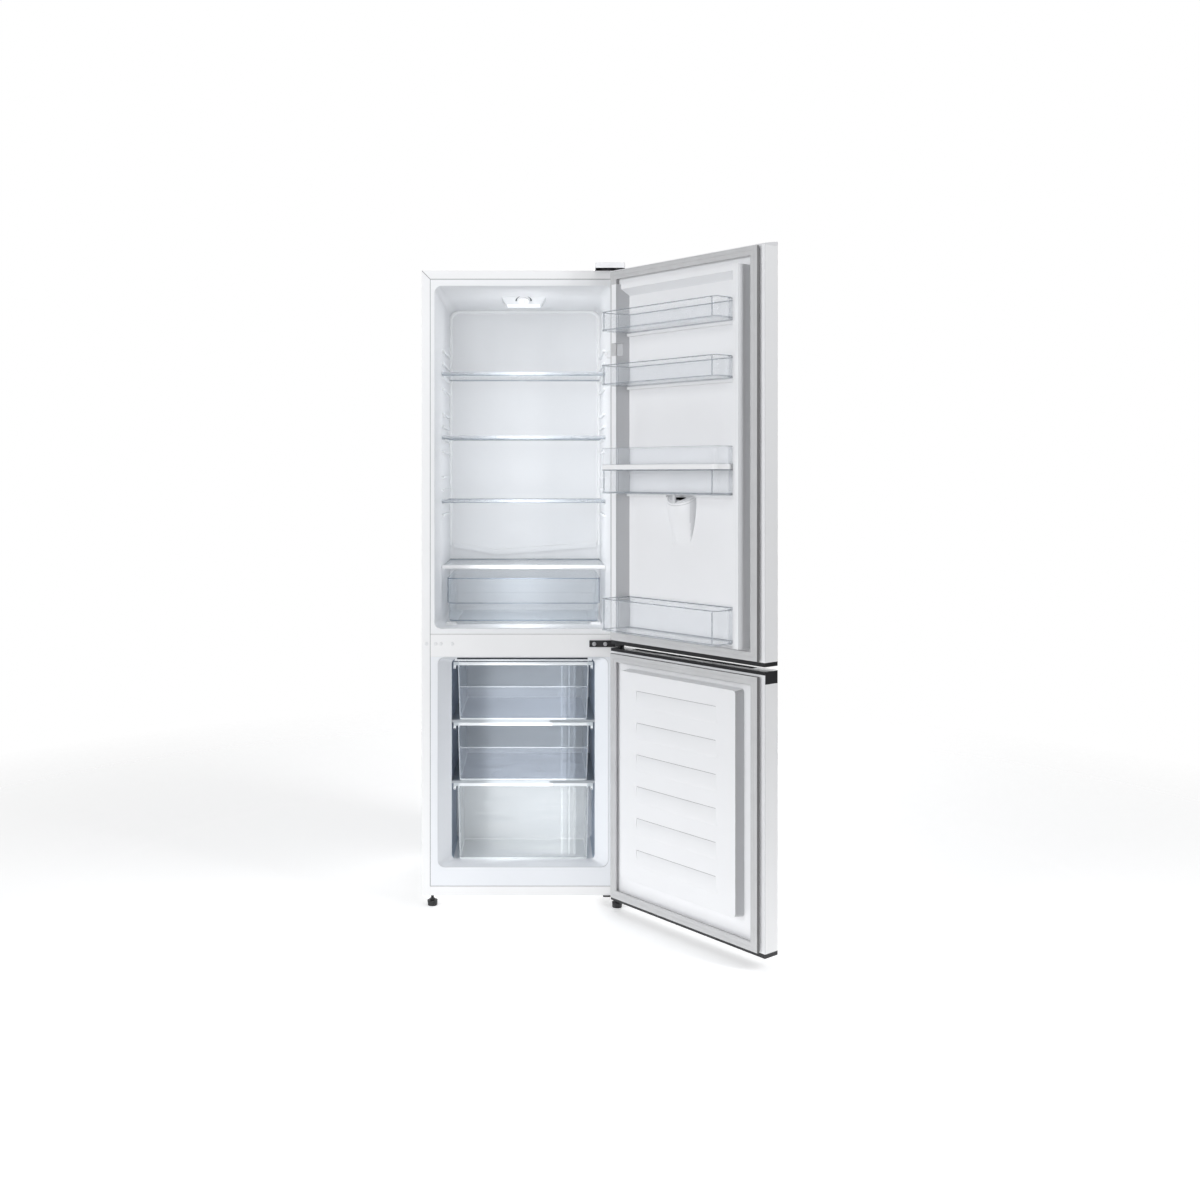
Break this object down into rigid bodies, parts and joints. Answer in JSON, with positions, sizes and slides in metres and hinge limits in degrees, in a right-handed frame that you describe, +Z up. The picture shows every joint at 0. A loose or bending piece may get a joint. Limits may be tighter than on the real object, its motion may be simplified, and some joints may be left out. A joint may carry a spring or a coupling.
{
  "type": "bottom freezer refrigerator",
  "caption": "Free-standing fridge with the freezer below, both doors open, with shelves, drawers, door bins and a water tank.",
  "frame": {"origin": "under the middle of the whole part as it stands with its doors open, on the floor", "axes": "+Z up; the cabinet's front and its open side face -Y; +X towards the hinge side"},
  "size_m": [0.8856, 0.9863, 1.741],
  "materials": {
    "white_steel": "gloss",
    "grey_steel": "satin",
    "black_steel": "satin",
    "zinc_steel": "satin",
    "foam": "matte",
    "liner_plastic": "satin",
    "white_plastic": "satin",
    "black_plastic": "satin",
    "dark_plastic": "satin",
    "black_rubber": "matte",
    "grey_seal": "satin",
    "cold_aluminium": "satin",
    "lens_plastic": "satin",
    "shelf_glass": "gloss",
    "clear_plastic": "gloss"
  },
  "bodies": {
    "cabinet": {"cabinet_shell": "white_steel", "back_panel": "grey_steel", "cabinet_insulation": "foam", "fridge_liner": "liner_plastic", "freezer_liner": "liner_plastic", "centre_beam": "white_plastic", "base_tray": "white_steel", "compressor": "black_steel", "compressor_mounts": "black_rubber", "terminal_box": "black_plastic", "drip_tray": "black_plastic", "condenser": "black_steel", "evaporator": "cold_aluminium", "lamp_housing": "white_plastic", "lamp_lens": "lens_plastic", "top_hinge": "black_steel", "top_hinge_cover": "white_plastic", "middle_hinge": "black_steel", "bottom_hinge": "black_steel", "hinge_screws": "zinc_steel", "hole_plugs": "white_plastic"},
    "upper_door": {"upper_door_skin": "white_steel", "upper_door_liner": "liner_plastic", "upper_door_insulation": "foam", "upper_door_top_cap": "white_plastic", "upper_door_bottom_cap": "white_plastic", "upper_door_gasket": "grey_seal", "dispenser_housing": "white_plastic", "dispenser_valve": "white_plastic"},
    "dispenser_lever": {"dispenser_lever": "white_plastic"},
    "upper_balcony": {"upper_balcony": "clear_plastic"},
    "middle_balcony": {"middle_balcony": "clear_plastic"},
    "bottle_balcony": {"bottle_balcony": "clear_plastic"},
    "water_tank": {"water_tank": "clear_plastic"},
    "tank_lid": {"tank_lid": "white_plastic", "tank_rack": "clear_plastic"},
    "lower_door": {"lower_door_skin": "white_steel", "lower_door_liner": "liner_plastic", "lower_door_insulation": "foam", "lower_door_handle_cap": "dark_plastic", "lower_door_bottom_cap": "black_plastic", "lower_door_gasket": "grey_seal"},
    "upper_shelf": {"upper_shelf_glass": "shelf_glass", "upper_shelf_trim": "white_plastic"},
    "middle_shelf": {"middle_shelf_glass": "shelf_glass", "middle_shelf_trim": "white_plastic"},
    "lower_shelf": {"lower_shelf_glass": "shelf_glass", "lower_shelf_trim": "white_plastic"},
    "crisper_cover": {"crisper_cover_glass": "shelf_glass", "crisper_cover_trim": "white_plastic"},
    "crisper": {"crisper": "clear_plastic"},
    "freezer_drawer_upper": {"freezer_drawer_upper": "clear_plastic"},
    "freezer_drawer_middle": {"freezer_drawer_middle": "clear_plastic"},
    "freezer_drawer_lower": {"freezer_drawer_lower": "clear_plastic"},
    "thermostat_dial": {"thermostat_dial": "white_plastic"},
    "switch_plunger": {"switch_plunger": "white_plastic"},
    "front_foot_left": {"front_foot_left": "black_plastic"},
    "front_foot_right": {"front_foot_right": "black_plastic"},
    "rear_roller_left": {"rear_roller_left": "black_plastic"},
    "rear_roller_right": {"rear_roller_right": "black_plastic"}
  },
  "joints": [
    {"name": "upper_door_swing", "type": "hinge", "parent": "cabinet", "child": "upper_door", "pos_m": [0.09316, -0.05924, 0.719], "axis": [0, 0, 1], "range_deg": [-128.5, 6.5]},
    {"name": "lower_door_swing", "type": "hinge", "parent": "cabinet", "child": "lower_door", "pos_m": [0.09316, -0.05924, 0.033], "axis": [0, 0, 1], "range_deg": [-128.5, 6.5]},
    {"name": "freezer_drawer_upper_slide", "type": "slide", "parent": "cabinet", "child": "freezer_drawer_upper", "axis": [0, -1, 0], "range_m": [0, 0.26]},
    {"name": "freezer_drawer_middle_slide", "type": "slide", "parent": "cabinet", "child": "freezer_drawer_middle", "axis": [0, -1, 0], "range_m": [0, 0.26]},
    {"name": "freezer_drawer_lower_slide", "type": "slide", "parent": "cabinet", "child": "freezer_drawer_lower", "axis": [0, -1, 0], "range_m": [0, 0.14]},
    {"name": "crisper_slide", "type": "slide", "parent": "cabinet", "child": "crisper", "axis": [0, -1, 0], "range_m": [0, 0.2]},
    {"name": "upper_shelf_slide", "type": "slide", "parent": "cabinet", "child": "upper_shelf", "axis": [0, -1, 0], "range_m": [0, 0.2]},
    {"name": "middle_shelf_slide", "type": "slide", "parent": "cabinet", "child": "middle_shelf", "axis": [0, -1, 0], "range_m": [0, 0.2]},
    {"name": "lower_shelf_slide", "type": "slide", "parent": "cabinet", "child": "lower_shelf", "axis": [0, -1, 0], "range_m": [0, 0.2]},
    {"name": "crisper_cover_slide", "type": "slide", "parent": "cabinet", "child": "crisper_cover", "axis": [0, -1, 0], "range_m": [0, 0.2]},
    {"name": "upper_balcony_lift", "type": "slide", "parent": "upper_door", "child": "upper_balcony", "axis": [0, 0, 1], "range_m": [0, 0.03]},
    {"name": "middle_balcony_lift", "type": "slide", "parent": "upper_door", "child": "middle_balcony", "axis": [0, 0, 1], "range_m": [0, 0.03]},
    {"name": "bottle_balcony_lift", "type": "slide", "parent": "upper_door", "child": "bottle_balcony", "axis": [0, 0, 1], "range_m": [0, 0.03]},
    {"name": "water_tank_lift", "type": "slide", "parent": "upper_door", "child": "water_tank", "axis": [0, 0, 1], "range_m": [0, 0.04]},
    {"name": "tank_lid_lift", "type": "slide", "parent": "water_tank", "child": "tank_lid", "axis": [0, 0, 1], "range_m": [0, 0.04]},
    {"name": "dispenser_lever_push", "type": "hinge", "parent": "upper_door", "child": "dispenser_lever", "pos_m": [0.25015, -0.26786, 1.082], "axis": [-0.6225, 0.7826, 0], "range_deg": [0, 12], "stiffness_Nm_per_rad": 0.05},
    {"name": "thermostat_turn", "type": "hinge", "parent": "cabinet", "child": "thermostat_dial", "pos_m": [-0.16784, 0.11226, 1.6635], "axis": [0, -0.4808, -0.8768], "range_deg": [0, 270]},
    {"name": "switch_plunger_press", "type": "slide", "parent": "cabinet", "child": "switch_plunger", "axis": [1, 0, 0], "range_m": [0, 0.004], "stiffness_N_per_m": 150},
    {"name": "front_foot_left_turn", "type": "hinge", "parent": "cabinet", "child": "front_foot_left", "pos_m": [-0.41485, -0.00824, 0], "axis": [0, 0, 1], "continuous": true},
    {"name": "front_foot_right_turn", "type": "hinge", "parent": "cabinet", "child": "front_foot_right", "pos_m": [0.08715, -0.02624, 0], "axis": [0, 0, 1], "continuous": true},
    {"name": "rear_roller_left_spin", "type": "hinge", "parent": "cabinet", "child": "rear_roller_left", "pos_m": [-0.39284, 0.41776, 0.014], "axis": [1, 0, 0], "continuous": true},
    {"name": "rear_roller_right_spin", "type": "hinge", "parent": "cabinet", "child": "rear_roller_right", "pos_m": [0.05715, 0.41776, 0.014], "axis": [1, 0, 0], "continuous": true}
  ]
}
